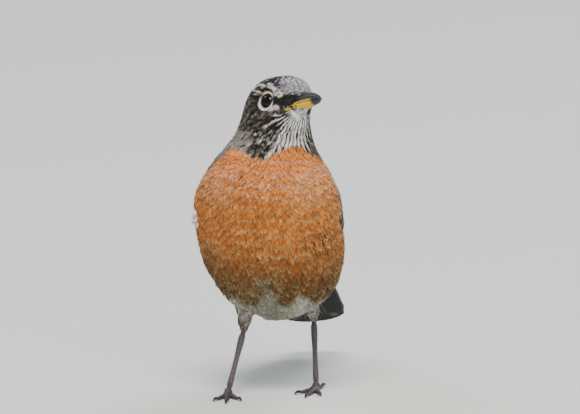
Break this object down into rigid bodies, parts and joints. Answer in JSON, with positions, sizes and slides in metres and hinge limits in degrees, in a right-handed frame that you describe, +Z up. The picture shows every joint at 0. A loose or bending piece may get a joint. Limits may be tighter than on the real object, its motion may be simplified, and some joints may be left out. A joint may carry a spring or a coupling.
{
  "type": "american robin",
  "caption": "Life-size standing thrush: upright body with rust breast, dark cocked head, slim yellow bill, folded wings, straight tail and two perching feet.",
  "frame": {"origin": "on the ground, under the middle of the bird's overall box", "axes": "+Z up; the bird faces -Y with its tail towards +Y; its left side is +X"},
  "size_m": [0.0726, 0.154, 0.1599],
  "materials": {
    "body_plumage": "short soft feathers: rust orange breast and flanks, grey-brown back, white vent",
    "neck_plumage": "short soft feathers, grey-brown at the sides, white streaked with black at the throat",
    "head_plumage": "very short feathers, sooty with frosted edges, white round the eye",
    "thigh_plumage": "short fluffy feathers, grey-buff",
    "wing_feathers": "smooth vanes, dark grey-brown with paler edges",
    "tail_feathers": "smooth vanes, blackish with thin pale edges",
    "bill": "satin horn, yellow with a dusky ridge and tip",
    "eye": "wet gloss, very dark brown",
    "scaled_leg": "satin scales, dark purplish grey",
    "claw": "satin horn, blackish"
  },
  "bodies": {
    "root": {"bill_lower": "bill", "bill_upper": "bill", "claw_left_hallux": "claw", "claw_left_inner": "claw", "claw_left_middle": "claw", "claw_left_outer": "claw", "claw_right_hallux": "claw", "claw_right_inner": "claw", "claw_right_middle": "claw", "claw_right_outer": "claw", "coverts_left": "wing_feathers", "coverts_right": "wing_feathers", "eye_left": "eye", "eye_right": "eye", "head": "head_plumage", "neck": "neck_plumage", "primaries_left": "wing_feathers", "primaries_right": "wing_feathers", "secondaries_left": "wing_feathers", "secondaries_right": "wing_feathers", "tail": "tail_feathers", "tarsus_left": "scaled_leg", "tarsus_right": "scaled_leg", "thigh_left": "thigh_plumage", "thigh_right": "thigh_plumage", "toe_left_hallux": "scaled_leg", "toe_left_inner": "scaled_leg", "toe_left_middle": "scaled_leg", "toe_left_outer": "scaled_leg", "toe_right_hallux": "scaled_leg", "toe_right_inner": "scaled_leg", "toe_right_middle": "scaled_leg", "toe_right_outer": "scaled_leg", "trunk": "body_plumage"}
  },
  "joints": []
}
